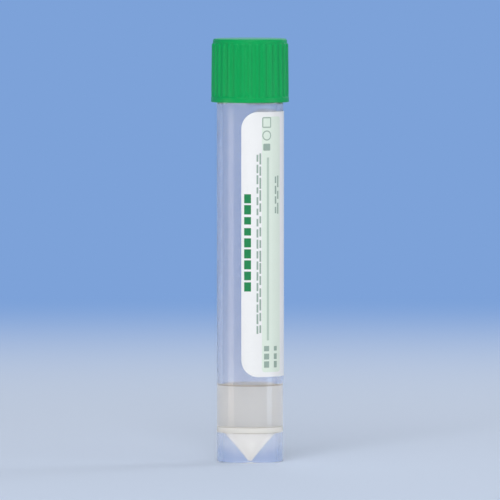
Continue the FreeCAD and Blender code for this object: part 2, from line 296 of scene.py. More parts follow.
# Flexographic inks: thin even films, a little glossier than the paper, mottled where the paper drinks.
INK_GREEN = Finish("printed_ink_green", "#0E7F45", "#16894E", 0.38, 0.04, 0.25, 0.002)
INK_GREY = Finish("printed_ink_grey_green", "#8FA79C", "#9DB2A8", 0.42, 0.04, 0.25, 0.002)
INK_PALE = Finish("printed_ink_pale_grey_green", "#B2C6BA", "#BCCEC3", 0.42, 0.04, 0.25, 0.002)
INK_TINT = Finish("printed_tint_pale_green", "#E3F0E8", "#DDEBE2", 0.44, 0.04, 0.3, 0.002, specular=0.3)


# ---- Turned meshes


@dataclass(frozen=True)
class Corner:
    """A corner of a turned outline, and the run from it to the next corner. Sizes are in millimetres.

    The run has the piece's main finish if it holds none of its own.
    """

    across: float
    up: float
    rounding: float = 0.0
    finish: Finish | None = None
    step: float = 0.0


def rounded_corner(before: Vector, corner: Vector, after: Vector, radius: float) -> list[Vector]:
    """Replace a corner by an arc.

    Args:
        before: The corner before.
        corner: The corner itself.
        after: The corner after.
        radius: The arc's radius.

    Returns:
        Points along the arc, the two tangent points among them.
    """
    to_before, to_after = (before - corner).normalized(), (after - corner).normalized()
    half = to_before.angle(to_after) / 2
    cut = radius / math.tan(half)
    centre = corner + (to_before + to_after).normalized() * (radius / math.sin(half))
    start, end = corner + to_before * cut - centre, corner + to_after * cut - centre
    sweep = start.angle_signed(end)
    runs = max(ARC_RUNS, math.ceil(abs(sweep) / math.radians(ARC_STEP)))
    points = []
    for index in range(runs + 1):
        turn = -sweep * index / runs
        across = start.x * math.cos(turn) - start.y * math.sin(turn)
        up = start.x * math.sin(turn) + start.y * math.cos(turn)
        points.append(centre + Vector((across, up)))
    return points


def outline_rings(corners: list[Corner]) -> list[tuple[float, float, Finish | None]]:
    """Round and divide an outline that starts and ends on the axis.

    Args:
        corners: The outline's corners in order.

    Returns:
        Radius and height of each ring in millimetres, and the finish of the band after it.
    """
    places = [Vector((corner.across, corner.up)) for corner in corners]
    rings: list[tuple[float, float, Finish | None]] = []
    for index, corner in enumerate(corners):
        points = [places[index]]
        if corner.rounding:
            points = rounded_corner(places[index - 1], places[index], places[index + 1], corner.rounding)
        if rings and corners[index - 1].step:
            last = Vector(rings[-1][:2])
            count = math.ceil((points[0] - last).length / corners[index - 1].step)
            for part in range(1, count):
                between = last.lerp(points[0], part / count)
                rings.append((between.x, between.y, corners[index - 1].finish))
        rings += [(point.x, point.y, corner.finish) for point in points]
    return rings


def turn_outline(name: str, corners: list[Corner], main: Finish, segments: int) -> Object:
    """Turn an outline about the Z axis into a closed mesh.

    Args:
        name: Name of the piece.
        corners: The outline, from the axis to the axis.
        main: The piece's main finish.
        segments: How many faces go round.

    Returns:
        The new object, at the origin, with its place in its mesh.
    """
    finishes = list(dict.fromkeys([main, *(corner.finish for corner in corners if corner.finish)]))
    rings = outline_rings(corners)
    turns = [2 * math.pi * index / segments for index in range(segments)]
    shape = bmesh.new()
    rows = []
    for radius, height, _ in rings:
        round_axis = [(radius * MM * math.cos(turn), radius * MM * math.sin(turn)) for turn in turns]
        spots = [(0.0, 0.0)] if radius < ON_AXIS else round_axis
        rows.append([shape.verts.new((across, back, height * MM)) for across, back in spots])
    for lower, upper, (_, _, finish) in zip(rows, rows[1:], rings):
        slot = finishes.index(finish or main)
        for here in range(segments):
            after = (here + 1) % segments
            sides = ((lower, here), (lower, after), (upper, after), (upper, here))
            loop = list(dict.fromkeys(row[spot % len(row)] for row, spot in sides))
            if len(loop) > 2:
                shape.faces.new(loop).material_index = slot
    return finished_mesh(name, shape, finishes)


def finished_mesh(name: str, shape: bmesh.types.BMesh, finishes: list[Finish]) -> Object:
    """Close off a bmesh as an object with outward faces.

    Args:
        name: Name of the piece.
        shape: The bmesh, which is freed.
        finishes: A finish for each material slot.

    Returns:
        The new object.
    """
    bmesh.ops.recalc_face_normals(shape, faces=shape.faces)
    mesh = bpy.data.meshes.new(name)
    shape.to_mesh(mesh)
    shape.free()
    for finish in finishes:
        mesh.materials.append(finish.material())
    piece = placed(name, mesh)
    smooth(piece)
    return piece


def smooth(piece: Object, sharp_from_degrees: float = 40.0) -> None:
    """Shade a piece smooth, with its real corners left sharp."""
    piece.data.shade_smooth()
    piece.data.set_sharp_from_angle(angle=math.radians(sharp_from_degrees))


# ---- Geometry Nodes


class NodeShape:
    """A Geometry Nodes tree under construction, with named inputs."""

    def __init__(self, name: str, numbers: tuple[str, ...], counts: tuple[str, ...] = ()) -> None:
        """Start a tree that takes a mesh, named numbers and a material, and gives a mesh.

        Args:
            name: Name of the tree.
            numbers: Names of its inputs that are lengths, angles or shares.
            counts: Names of its inputs that are whole numbers.
        """
        self.tree = bpy.data.node_groups.new(name, "GeometryNodeTree")
        kinds = {"Geometry": "Geometry"} | dict.fromkeys(numbers, "Float") | dict.fromkeys(counts, "Int")
        face = self.tree.interface
        for label, kind in (kinds | {"Material": "Material"}).items():
            face.new_socket(label, in_out="INPUT", socket_type=f"NodeSocket{kind}")
        face.new_socket("Geometry", in_out="OUTPUT", socket_type="NodeSocketGeometry")
        self.inputs = add_node(self.tree, "NodeGroupInput")

    def work_out(self, formula: Any) -> Any:
        """Build a formula in this tree, and give the number or socket that holds its result."""
        return work_out(self.tree, formula)

    def share(self, start: Any, *rises: tuple[Any, Any, Any]) -> NodeSocket:
        """Multiply a share by smooth rises from 0 to 1.

        Args:
            start: The share, as a formula.
            rises: What each rise follows, and where it starts and ends, either way round, as formulas.

        Returns:
            The product.
        """
        product = self.work_out(start)
        for rise in rises:
            inputs = dict(zip(("Value", "From Min", "From Max"), map(self.work_out, rise)))
            step = add_node(self.tree, "ShaderNodeMapRange", inputs, interpolation_type="SMOOTHSTEP")
            product = self.work_out(("MULTIPLY", product, step["Result"]))
        return product

    def place(self) -> NodeOutputs:
        """Each point's place along X, Y and Z."""
        position = add_node(self.tree, "GeometryNodeInputPosition")[0]
        return add_node(self.tree, "ShaderNodeSeparateXYZ", {0: position})

    def polar(self) -> tuple[NodeSocket, NodeSocket, NodeSocket]:
        """Give each point's place about the Z axis.

        Returns:
            The point's radius, angle and height.
        """
        across, back, up = self.place()
        square = ("ADD", ("MULTIPLY", across, across), ("MULTIPLY", back, back))
        return self.work_out(("SQRT", square)), self.work_out(("ARCTAN2", back, across)), up

    def push_out(self, angle: NodeSocket, distance: Any) -> NodeSocket:
        """Move the mesh's points away from the Z axis.

        Args:
            angle: Each point's angle about the axis.
            distance: How far it moves, as a formula.

        Returns:
            The moved mesh.
        """
        distance = self.work_out(distance)
        sides = (("MULTIPLY", distance, (side, angle)) for side in ("COSINE", "SINE"))
        inputs = {"Geometry": self.inputs["Geometry"], "Offset": self.work_out(("VECTOR", *sides))}
        return add_node(self.tree, "GeometryNodeSetPosition", inputs)[0]

    def end(self, geometry: NodeSocket, selection: Any = True) -> NodeTree:
        """Close the tree with Realize Instances and Set Material.

        Args:
            geometry: The finished geometry.
            selection: The faces that take the material.

        Returns:
            The tree.
        """
        real = add_node(self.tree, "GeometryNodeRealizeInstances", {0: geometry})[0]
        inputs = {"Geometry": real, "Selection": selection, "Material": self.inputs["Material"]}
        painted = add_node(self.tree, "GeometryNodeSetMaterial", inputs)[0]
        add_node(self.tree, "NodeGroupOutput", {0: painted})
        return self.tree


def grip_ribs_tree() -> NodeTree:
    """Build the tree that raises upright ribs with soft flanks evenly round a turned wall.

    Returns:
        The tree.
    """
    lengths = ("Wall Radius", "Rib Height", "Foot Width", "Crest Width", "Bottom", "Top", "Run Out")
    shape = NodeShape("grip_ribs", lengths, ("Ribs",))
    size = shape.inputs
    radius, angle, up = shape.polar()
    # A width on the wall, as the cosine that the wave round the wall has at that width's two edges.
    twice = ("MULTIPLY", size["Wall Radius"], 2.0)
    foot, crest = (
        ("COSINE", ("DIVIDE", ("MULTIPLY", size[width], size["Ribs"]), twice))
        for width in ("Foot Width", "Crest Width")
    )
    share = shape.share(
        ("GREATER_THAN", radius, size["Wall Radius"]),
        (("COSINE", ("MULTIPLY", angle, size["Ribs"])), foot, crest),
        (up, size["Bottom"], ("ADD", size["Bottom"], size["Run Out"])),
        (up, size["Top"], ("SUBTRACT", size["Top"], size["Run Out"])),
    )
    return shape.end(shape.push_out(angle, ("MULTIPLY", share, size["Rib Height"])))


def screw_thread_tree() -> NodeTree:
    """Build the tree that raises helical ridges on a turned wall, each fading in and out at its ends.

    Returns:
        The tree.
    """
    widths = ("Foot Width", "Crest Width")
    lengths = (*widths, "Wall Radius", "Ridge Height", "Lead", "First Height", "Rise", "Run Out")
    shape = NodeShape("screw_thread", lengths, ("Starts",))
    size = shape.inputs
    radius, angle, up = shape.polar()
    climbed = ("MULTIPLY", ("DIVIDE", angle, 2 * math.pi), size["Lead"])
    above = ("SUBTRACT", ("SUBTRACT", up, size["First Height"]), climbed)
    # How far a point lies above the middle of the nearest ridge, and the height of that middle.
    half = shape.work_out(("DIVIDE", ("DIVIDE", size["Lead"], size["Starts"]), 2.0))
    off = shape.work_out(("WRAP", above, half, ("MULTIPLY", half, -1.0)))
    middle = shape.work_out(("SUBTRACT", ("SUBTRACT", up, off), size["First Height"]))
    apart = ("ABSOLUTE", ("SUBTRACT", radius, size["Wall Radius"]))
    share = shape.share(
        ("LESS_THAN", apart, ON_WALL * MM),
        (("ABSOLUTE", off), *(("DIVIDE", size[width], 2.0) for width in widths)),
        (middle, 0.0, size["Run Out"]),
        (middle, size["Rise"], ("SUBTRACT", size["Rise"], size["Run Out"])),
    )
    moved = shape.push_out(angle, ("MULTIPLY", share, size["Ridge Height"]))
    return shape.end(moved, shape.work_out(("GREATER_THAN", share, 0.0)))


def wrap_tree() -> NodeTree:
    """Build the tree that wraps a flat upright sheet round the tube."""
    shape = NodeShape("wrap_round_tube", ("Radius", "Turn"))
    return shape.end(wrap_round(shape, shape.inputs["Geometry"]))


def wrap_round(shape: NodeShape, geometry: NodeSocket) -> NodeSocket:
    """Wrap geometry by the tree's Radius and Turn: across is taken as an arc, depth as radius.

    Args:
        shape: The tree, with inputs named Radius and Turn.
        geometry: Flat geometry, seen from -Y.

    Returns:
        The wrapped geometry.
    """
    across, depth, up = shape.place()
    turn = shape.work_out(("ADD", ("DIVIDE", across, shape.inputs["Radius"]), shape.inputs["Turn"]))
    radius = shape.work_out(("SUBTRACT", shape.inputs["Radius"], depth))
    back = ("MULTIPLY", radius, ("MULTIPLY", ("COSINE", turn), -1.0))
    place = shape.work_out(("VECTOR", ("MULTIPLY", radius, ("SINE", turn)), back, up))
    inputs = {"Geometry": geometry, "Position": place}
    return add_node(shape.tree, "GeometryNodeSetPosition", inputs)[0]


def print_lines_tree() -> NodeTree:
    """Build the tree that lays an upright row of plain dashes of uneven length on the wrapped label.

    Returns:
        The tree.
    """
    numbers = ("Radius", "Turn", "Bottom", "Pitch", "Width", "Film", "Shortest", "Longest")
    shape = NodeShape("print_lines", numbers, ("Count", "Seed"))
    size, tree = shape.inputs, shape.tree
    start, stride = (shape.work_out(("VECTOR", 0.0, 0.0, size[name])) for name in ("Bottom", "Pitch"))
    inputs = {"Count": size["Count"], "Start Location": start, "Offset": stride}
    row = add_node(tree, "GeometryNodeMeshLine", inputs)[0]
    block = shape.work_out(("VECTOR", size["Width"], size["Film"], size["Pitch"]))
    inputs = {"Size": block, "Vertices X": DASH_EDGES}
    dash = add_node(tree, "GeometryNodeMeshCube", inputs)["Mesh"]
    # Places 2 and 3 are the node's least and greatest float, and its output 1 is the float.
    inputs = {2: size["Shortest"], 3: size["Longest"], "Seed": size["Seed"]}
    shares = add_node(tree, "FunctionNodeRandomValue", inputs, data_type="FLOAT")[1]
    inputs = {"Points": row, "Instance": dash, "Scale": shape.work_out(("VECTOR", 1.0, 1.0, shares))}
    dashes = add_node(tree, "GeometryNodeInstanceOnPoints", inputs)[0]
    real = add_node(tree, "GeometryNodeRealizeInstances", {0: dashes})[0]
    return shape.end(wrap_round(shape, real))


def run_tree(
    piece: Object, tree: NodeTree, finish: Finish, lengths: dict[str, float], **others: float
) -> None:
    """Run a tree on a piece and keep its result as the piece's plain mesh.

    Args:
        piece: The object.
        tree: The tree.
        finish: What the tree's Material input is set to.
        lengths: The tree's inputs that are lengths, in millimetres.
        others: The tree's other inputs.
    """
    values: dict[str, Any] = {name: length * MM for name, length in lengths.items()} | others
    values["Material"] = finish.material()
    modifier = piece.modifiers.new(tree.name, "NODES")
    modifier.node_group = tree
    for item in tree.interface.items_tree:
        if item.in_out == "INPUT" and item.name in values:
            modifier[item.identifier] = values[item.name]
    evaluated = piece.evaluated_get(bpy.context.evaluated_depsgraph_get())
    mesh = bpy.data.meshes.new_from_object(evaluated)
    piece.modifiers.remove(modifier)
    piece.data = mesh
    mesh.name = piece.name
    smooth(piece)


# ---- The object's pieces


def report(piece: Object, body: str, slot: str, *nodes: str) -> None:
    """Attach a piece to its body's empty, hide the CAD nodes that it stands for, and log it.

    Args:
        piece: The finished piece.
        body: The CAD body that it rides on.
        slot: The record's material slot.
        nodes: The CAD nodes that it stands for.
    """
    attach(piece, body)
    if nodes:
        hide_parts(*nodes)
    triangles = sum(len(face.vertices) - 2 for face in piece.data.polygons)
    log.info("%s: %d triangles, on body %s, slot %s", piece.name, triangles, body, slot)


class End(IntEnum):
    """An end of a CAD node's box."""

    BOTTOM = 0
    TOP = 1


def height_of(node: str, end: End) -> float:
    """Height of a CAD node's end, in millimetres."""
    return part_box(node)[end][2] / MM


@dataclass(frozen=True)
class Thread:
    """The two-start screw thread, in millimetres. The cap's ridges and the tube's are alike."""

    starts: int = 2
    lead: float = 5.0
    rise: float = 5.75
    height: float = 0.45
    foot_width: float = 1.05
    crest_width: float = 0.45
    run_out: float = 0.25

    def raise_on(self, piece: Object, finish: Finish, radius: float, first: float, way: int) -> None:
        """Raise the ridges on a turned wall.

        Args:
            piece: The turned piece.
            finish: The ridges' finish.
            radius: Radius of the wall.
            first: Height of the middle of each ridge where it starts.
            way: 1 for ridges that stand away from the axis, -1 for ridges that stand towards it.
        """
        lengths = {
            "Wall Radius": radius,
            "Ridge Height": way * self.height,
            "Lead": self.lead,
            "Foot Width": self.foot_width,
            "Crest Width": self.crest_width,
            "First Height": first,
            "Rise": self.rise,
            "Run Out": self.run_out,
        }
        run_tree(piece, screw_thread_tree(), finish, lengths, Starts=self.starts)


@dataclass
class TubeBody:
    """The moulded tube, in millimetres: conical bottom, standing skirt, straight body, threaded neck."""

    radius: float = 6.3
    bore: float = 5.2
    neck: float = 5.8
    shoulder: float = 67.7
    rim: float = height_of("tube", End.TOP)
    wetted_to: float = height_of("medium", End.TOP)
    tip_clearance: float = 0.4
    tip_radius: float = 0.3
    cone_half_angle: float = 42.0
    cone_wall: float = 0.6
    foot_round: float = 0.2
    rim_round: float = 0.15
    root_round: float = 0.12
    margin_height: float = 0.35
    thread_start: float = 70.85
    wall_step: float = 4.0
    wetted_step: float = 2.0
    cone_step: float = 0.6
    thread_step: float = 0.12
    thread: Thread = Thread()

    @property
    def root(self) -> float:
        """Height at which the outside of the cone meets the skirt."""
        slope = math.tan(math.radians(self.cone_half_angle))
        return self.tip_clearance + (self.bore - self.tip_radius) / slope

    @property
    def cone_thickness(self) -> float:
        """Wall of the cone, measured upright."""
        return self.cone_wall / math.sin(math.radians(self.cone_half_angle))

    def outline(self) -> list[Corner]:
        """List the corners: under the cone, round the foot, up outside and down the bore.

        Returns:
            The wall's outline.
        """
        floor = self.tip_clearance + self.cone_thickness
        inner_root = self.root + self.cone_thickness
        neck_foot = self.shoulder + self.radius - self.neck
        return [
            Corner(0, self.tip_clearance, 0, TUBE_CONE_PAINTED_LIGHT),
            Corner(self.tip_radius, self.tip_clearance, 0, TUBE_CONE_PAINTED_LIGHT, self.cone_step),
            Corner(self.bore, self.root, self.root_round, TUBE_CONE_PAINTED_LIGHT),
            Corner(self.bore, self.root - 2 * self.root_round, 0, TUBE_SKIRT),
            Corner(self.bore, 0, self.foot_round),
            Corner(self.radius, 0, self.foot_round, step=self.wall_step),
            Corner(self.radius, self.root - self.root_round, 0, TUBE_WEB),
            Corner(self.radius, inner_root - self.root_round, step=self.wall_step),
            Corner(self.radius, self.shoulder, self.rim_round),
            Corner(self.neck, neck_foot, self.rim_round, step=self.thread_step),
            Corner(self.neck, self.rim, self.rim_round),
            Corner(self.bore, self.rim, self.rim_round, TUBE_BORE, self.wall_step),
            Corner(self.bore, self.wetted_to, 0, TUBE_MARGIN_PAINTED_SHADE),
            Corner(self.bore, self.wetted_to - self.margin_height, 0, TUBE_WETTED_PAINTED_LIGHT, self.wetted_step),
            Corner(self.bore, inner_root, self.root_round, TUBE_CONE_PAINTED_LIGHT, self.cone_step),
            Corner(self.tip_radius, floor, 0, TUBE_CONE_PAINTED_LIGHT),
            Corner(0, floor, 0, TUBE_CONE_PAINTED_LIGHT),
        ]

    def build(self) -> None:
        """Turn the wall, raise its thread and attach it to its body."""
        piece = turn_outline("tube_wall", self.outline(), TUBE_OUTSIDE, FINE_FACES)
        self.thread.raise_on(piece, TUBE_OUTSIDE, self.neck, self.thread_start, way=1)
        report(piece, "tube", "tube_plastic", "tube")


@dataclass
class ScrewCap:
    """The moulded screw cap, in millimetres: drafted skirt with grip ribs, plain band, thread inside."""

    mouth: float = height_of("cap", End.BOTTOM)
    top: float = height_of("cap", End.TOP)
    bore: float = 6.4
    shoulder_radius: float = 7.0
    skirt_radius: float = 7.1
    band_radius: float = 7.355
    band_height: float = 0.9
    top_wall: float = 1.3
    top_round: float = 0.5
    edge_round: float = 0.12
    bevel: float = 0.25
    rib_count: int = 32
    faces_per_rib: int = 14
    rib_height: float = 0.22
    rib_foot: float = 0.95
    rib_crest: float = 0.35
    rib_top_margin: float = 0.8
    rib_run_out: float = 0.35
    thread_start: float = 70.0
    flat_step: float = 1.5
    rib_end_step: float = 0.09
    rib_step: float = 1.2
    flare_step: float = 0.06
    thread_step: float = 0.12
    thread: Thread = Thread()

    def outline(self) -> list[Corner]:
        """List the corners: over the top, down the skirt, round the mouth and up the bore.

        Returns:
            The cap's outline.
        """
        band_top = self.mouth + self.band_height
        flare = self.band_radius - self.skirt_radius
        rib_top = self.top - self.rib_top_margin
        ceiling = self.top - self.top_wall
        return [
            Corner(0, self.top, step=self.flat_step),
            Corner(self.shoulder_radius, self.top, self.top_round),
            Corner(self.shoulder_radius, rib_top, step=self.rib_end_step),
            Corner(self.shoulder_radius, rib_top - self.rib_run_out, step=self.rib_step),
            Corner(self.skirt_radius, band_top + flare, step=self.flare_step),
            Corner(self.band_radius, band_top, self.edge_round),
            Corner(self.band_radius, self.mouth, self.edge_round),
            Corner(self.bore + self.bevel, self.mouth),
            Corner(self.bore, self.mouth + self.bevel, step=self.thread_step),
            Corner(self.bore, ceiling, step=self.flat_step),
            Corner(0, ceiling),
        ]

    def build(self) -> None:
        """Turn the shell, raise its ribs and its thread and attach it to its body."""
        faces = self.faces_per_rib * self.rib_count
        piece = turn_outline("screw_cap", self.outline(), CAP_GREEN, faces)
        lengths = {
            "Wall Radius": self.shoulder_radius - self.edge_round,
            "Rib Height": self.rib_height,
            "Foot Width": self.rib_foot,
            "Crest Width": self.rib_crest,
            "Bottom": self.mouth + self.band_height,
            "Top": self.top - self.rib_top_margin,
            "Run Out": self.rib_run_out,
        }
        run_tree(piece, grip_ribs_tree(), CAP_GREEN, lengths, Ribs=self.rib_count)
        self.thread.raise_on(piece, CAP_GREEN, self.bore, self.thread_start, way=-1)
        report(piece, "cap", "cap_plastic", "cap")


@dataclass
class CapLiner:
    """The soft liner: flange on the rim, sealing ring, funnel and socket for the stick. Millimetres."""

    rim: float = height_of("tube", End.TOP)
    top: float = height_of("cap_liner", End.TOP)
    mouth: float = height_of("cap_liner", End.BOTTOM)
    flange: float = 6.3
    plug: float = 5.1
    plug_taper: float = 0.1
    plug_depth: float = 1.6
    wall: float = 0.5
    funnel: float = 4.8
    socket_radius: float = 0.55
    socket_depth: float = 1.2
    socket_roof: float = 0.35
    edge: float = 0.08
    top_step: float = 1.5
    funnel_step: float = 1.0

    def build(self) -> None:
        """Turn the liner and attach it to its body."""
        socket_top = self.top - self.socket_roof
        ring_foot = self.rim - self.plug_depth
        corners = [
            Corner(0, self.top, step=self.top_step),
            Corner(self.flange, self.top, self.edge),
            Corner(self.flange, self.rim, self.edge),
            Corner(self.plug, self.rim, self.edge),
            Corner(self.plug - self.plug_taper, ring_foot, self.edge),
            Corner(self.plug - self.wall, ring_foot, self.edge),
            Corner(self.plug - self.wall, self.rim, self.edge),
            Corner(self.socket_radius + self.wall, self.rim, self.edge, step=self.funnel_step),
            Corner(self.funnel, self.mouth, self.edge),
            Corner(self.funnel - self.wall, self.mouth, self.edge, step=self.funnel_step),
            Corner(self.socket_radius, socket_top - self.socket_depth, self.edge),
            Corner(self.socket_radius, socket_top),
            Corner(0, socket_top),
        ]
        piece = turn_outline("liner_with_funnel", corners, LINER_WHITE, PLAIN_FACES)
        report(piece, "liner", "liner_plastic", "cap_liner")


@dataclass
class LiquidMedium:
    """The liquid in the foot of the bore, its surface curved up at the wall. Millimetres."""

    tube: TubeBody
    gap: float = 0.01
    level: float = 14.1
    meniscus_radius: float = 1.4
    meniscus_runs: int = 10
    contact_angle: float = 30.0
    surface_step: float = 0.8

    def build(self) -> None:
        """Turn the liquid and attach it to the tube's body."""
        tube, margin, side = self.tube, LIQUID_MARGIN, LIQUID_SIDE
        radius = tube.bore - self.gap
        lining = tube.cone_thickness + self.gap
        slope = math.radians(self.contact_angle)
        centre = radius - self.meniscus_radius * math.cos(slope)
        top = self.level + self.meniscus_radius * (1 - math.sin(slope))
        corners = [Corner(0, self.level, step=self.surface_step)]
        for index in range(self.meniscus_runs):
            turn = (math.pi / 2 - slope) * index / self.meniscus_runs
            across = centre + self.meniscus_radius * math.sin(turn)
            up = self.level + self.meniscus_radius * (1 - math.cos(turn))
            corners.append(Corner(across, up, 0, margin))
        corners += [
            Corner(radius, top, 0, margin),
            Corner(radius, top - tube.margin_height, 0, side, tube.wetted_step),
            Corner(radius, tube.root + lining, tube.root_round, side, tube.cone_step),
            Corner(tube.tip_radius, tube.tip_clearance + lining, 0, side),
            Corner(0, tube.tip_clearance + lining, 0, side),
        ]
        piece = turn_outline("liquid_medium", corners, LIQUID_SURFACE, FINE_FACES)
        report(piece, "tube", "liquid", "medium")


@dataclass(frozen=True)
class DashRow:
    """Plain dashes in a row, for a print line. Degrees right of the front, millimetres."""

    name: str
    ink: Finish
    angle: float
    width: float
    bottom: float
    top: float
    count: int
    shortest: float = 0.55
    longest: float = 0.92
    seed: int = 1


@dataclass(frozen=True)
class Sheet:
    """An upright sheet with rounded corners, or only its border where a line width is given.

    Its angle is that of its middle, in degrees right of the front. Sizes are in millimetres.
    """

    name: str
    finish: Finish
    angle: float
    width: float
    bottom: float
    height: float
    corner: float
    line: float = 0.0
    thickness: float = INK_FILM
    least_corner: float = 0.02
    run_parts: int = 8
    corner_columns: int = 12
    column_width: float = 0.2
    row_height: float = 4.0

    def build(self) -> Object:
        """Make the flat sheet, centred across, its back at depth 0.

        Returns:
            The sheet.
        """
        shape = bmesh.new()
        (self.fill_border if self.line else self.fill_columns)(shape)
        return finished_mesh(self.name, shape, [self.finish])

    def loop(self, cut: float) -> list[tuple[float, float]]:
        """List points round the sheet, counter-clockwise.

        Args:
            cut: How far they lie in from the sheet's edge.

        Returns:
            Each point's place across and up.
        """
        corner = max(self.corner - cut, self.least_corner)
        right, top = self.width / 2 - cut - corner, self.bottom + self.height - cut - corner
        low = self.bottom + cut + corner
        centres = [(right, low), (right, top), (-right, top), (-right, low)]
        points: list[tuple[float, float]] = []
        for quarter, (across, up) in enumerate(centres):
            for degrees in range(90 * quarter - 90, 90 * quarter + 1, ARC_STEP):
                turn = math.radians(degrees)
                points.append((across + corner * math.cos(turn), up + corner * math.sin(turn)))
            # The run to the next corner is divided, so that it can bend round the tube.
            next_across, next_up = centres[(quarter + 1) % 4]
            last_across, last_up = points[-1]
            for part in range(1, self.run_parts):
                share = part / self.run_parts
                points.append(
                    (last_across + (next_across - across) * share, last_up + (next_up - up) * share)
                )
        return points

    def fill_border(self, shape: bmesh.types.BMesh) -> None:
        """Fill the band from the sheet's edge to a line's width in, to the sheet's thickness.

        Args:
            shape: The bmesh to fill.
        """
        outer, inner = self.loop(0.0), self.loop(self.line)
        walls = ((outer, 0.0), (outer, self.thickness), (inner, self.thickness), (inner, 0.0))
        rings = []
        for loop, depth in walls:
            rings.append([shape.verts.new((across * MM, -depth * MM, up * MM)) for across, up in loop])
        for here, there in zip(rings, rings[1:] + rings[:1]):
            for point in range(len(outer)):
                after = (point + 1) % len(outer)
                shape.faces.new((here[point], here[after], there[after], there[point]))

    def fill_columns(self, shape: bmesh.types.BMesh) -> None:
        """Fill the sheet with upright columns, close enough to bend round the tube.

        Args:
            shape: The bmesh to fill.
        """
        corner, width = self.corner, self.width
        step = math.radians(90 / self.corner_columns)
        bends = [corner * (1 - math.cos(step * part)) for part in range(self.corner_columns + 1)]
        inner = width - 2 * corner
        count = max(1, math.ceil(inner / self.column_width))
        left = bends + [corner + inner * part / count for part in range(1, count)]
        rows = max(1, math.ceil(self.height / self.row_height))
        columns = []
        for place in left + [width - bend for bend in reversed(bends)]:
            inset = corner - min(place, width - place)
            cut = corner - math.sqrt(max(corner**2 - inset**2, 0.0)) if inset > 0 else 0.0
            low, high = self.bottom + cut, self.bottom + self.height - cut
            heights = [low + (high - low) * part / rows for part in range(rows + 1)]
            across = (place - width / 2) * MM
            back = [shape.verts.new((across, 0.0, up * MM)) for up in heights]
            front = [shape.verts.new((across, -self.thickness * MM, up * MM)) for up in heights]
            columns.append(back + front[::-1])
        size = 2 * (rows + 1)
        for here, there in zip(columns, columns[1:]):
            for point in range(size):
                after = (point + 1) % size
                shape.faces.new((here[point], here[after], there[after], there[point]))
        for end in (columns[0], columns[-1]):
            for row in range(rows):
                shape.faces.new((end[row], end[row + 1], end[size - 2 - row], end[size - 1 - row]))


@dataclass
class Label:
    """The wrap-round paper label and its generic print. Degrees right of the front, millimetres."""

    inside: float = 6.32
    thickness: float = 0.1
    width: float = 22.0
    bottom: float = height_of("label", End.BOTTOM)
    top: float = height_of("label", End.TOP)
    left: float = -14.8
    corner: float = 3.2
    tint_left: float = 20.5
    tint_width: float = 4.5
    tint_margin: float = 0.9
    tint_corner: float = 0.6
    rows: tuple[DashRow, ...] = (
        DashRow("print_bold_column", INK_GREEN, -4.1, 1.3, 32.3, 51.0, 9, 0.62, 0.86, 3),
        DashRow("print_fine_line_a", INK_GREY, 12.6, 0.34, 24.2, 58.6, 17, seed=5),
        DashRow("print_fine_line_b", INK_GREY, 17.6, 0.34, 24.2, 58.6, 15, seed=8),
        DashRow("print_note_a", INK_GREY, 48.5, 0.4, 46.8, 54.4, 4, seed=2),
        DashRow("print_note_b", INK_GREY, 54.5, 0.4, 46.8, 54.4, 3, seed=4),
        DashRow("print_foot_blocks_a", INK_GREY, 29.2, 1.1, 17.9, 22.4, 3, seed=6),
        DashRow("print_foot_blocks_b", INK_GREY, 48.0, 0.8, 17.9, 22.4, 3, seed=7),
    )
    patches: tuple[Sheet, ...] = (
        Sheet("print_square_outline", INK_GREY, 29.6, 1.9, 63.3, 2.0, 0.25, 0.2),
        Sheet("print_round_outline", INK_GREY, 29.6, 1.9, 60.9, 1.9, 0.95, 0.2),
        Sheet("print_small_block", INK_GREY, 29.6, 1.5, 59.0, 1.3, 0.2),
        Sheet("print_ruled_line", INK_PALE, 31.7, 0.5, 23.2, 34.5, 0.05),
    )

    def build(self) -> None:
        """Make the paper and its print and attach them to the tube's body."""
        wrap, dashes = wrap_tree(), print_lines_tree()
        bottom, height = self.bottom, self.top - self.bottom
        middle = self.left + math.degrees(self.width / 2 / self.inside)
        size = (middle, self.width, bottom, height, self.corner)
        paper = Sheet("label_paper", LABEL_PAPER, *size, thickness=self.thickness)
        self.lay(paper, self.inside, wrap, "label")
        # The tint is half a film thick, so that the print on it shows.
        outside, margin = self.inside + self.thickness, self.tint_margin
        middle = self.tint_left + math.degrees(self.tint_width / 2 / outside)
        size = (middle, self.tint_width, bottom + margin, height - 2 * margin, self.tint_corner)
        self.lay(Sheet("print_tint_panel", INK_TINT, *size, thickness=INK_FILM / 2), outside, wrap)
        for row in self.rows:
            self.print_row(row, outside, dashes)
        for patch in self.patches:
            self.lay(patch, outside, wrap)

    def lay(self, sheet: Sheet, radius: float, wrap: NodeTree, *nodes: str) -> None:
        """Wrap a sheet round the tube and attach it to the tube's body.

        Args:
            sheet: The flat sheet.
            radius: Radius of its back when wrapped.
            wrap: The tree that wraps it.
            nodes: The CAD nodes that it stands for.
        """
        piece = sheet.build()
        run_tree(piece, wrap, sheet.finish, {"Radius": radius}, Turn=math.radians(sheet.angle))
        report(piece, "tube", "label_paper", *nodes)

    def print_row(self, row: DashRow, outside: float, tree: NodeTree) -> None:
        """Lay one row of dashes.

        Args:
            row: The row.
            outside: Radius of the label's face.
            tree: The tree that makes the dashes.
        """
        piece = placed(row.name, bpy.data.meshes.new(row.name))
        pitch = (row.top - row.bottom) / row.count
        lengths = {
            "Radius": outside,
            "Bottom": row.bottom + pitch / 2,
            "Pitch": pitch,
            "Width": row.width,
            "Film": 2 * INK_FILM,  # half of it is sunk in the paper
        }
        shares = {"Shortest": row.shortest, "Longest": row.longest, "Turn": math.radians(row.angle)}
        run_tree(piece, tree, row.ink, lengths, Count=row.count, Seed=row.seed, **shares)
        report(piece, "tube", "label_paper")


# ---- The studio


class Reach(Enum):
    """What a lamp shows in."""

    ALL = "matt surfaces, gloss and glass"
    GLOSS = "gloss alone"
    MATT = "matt surfaces alone"


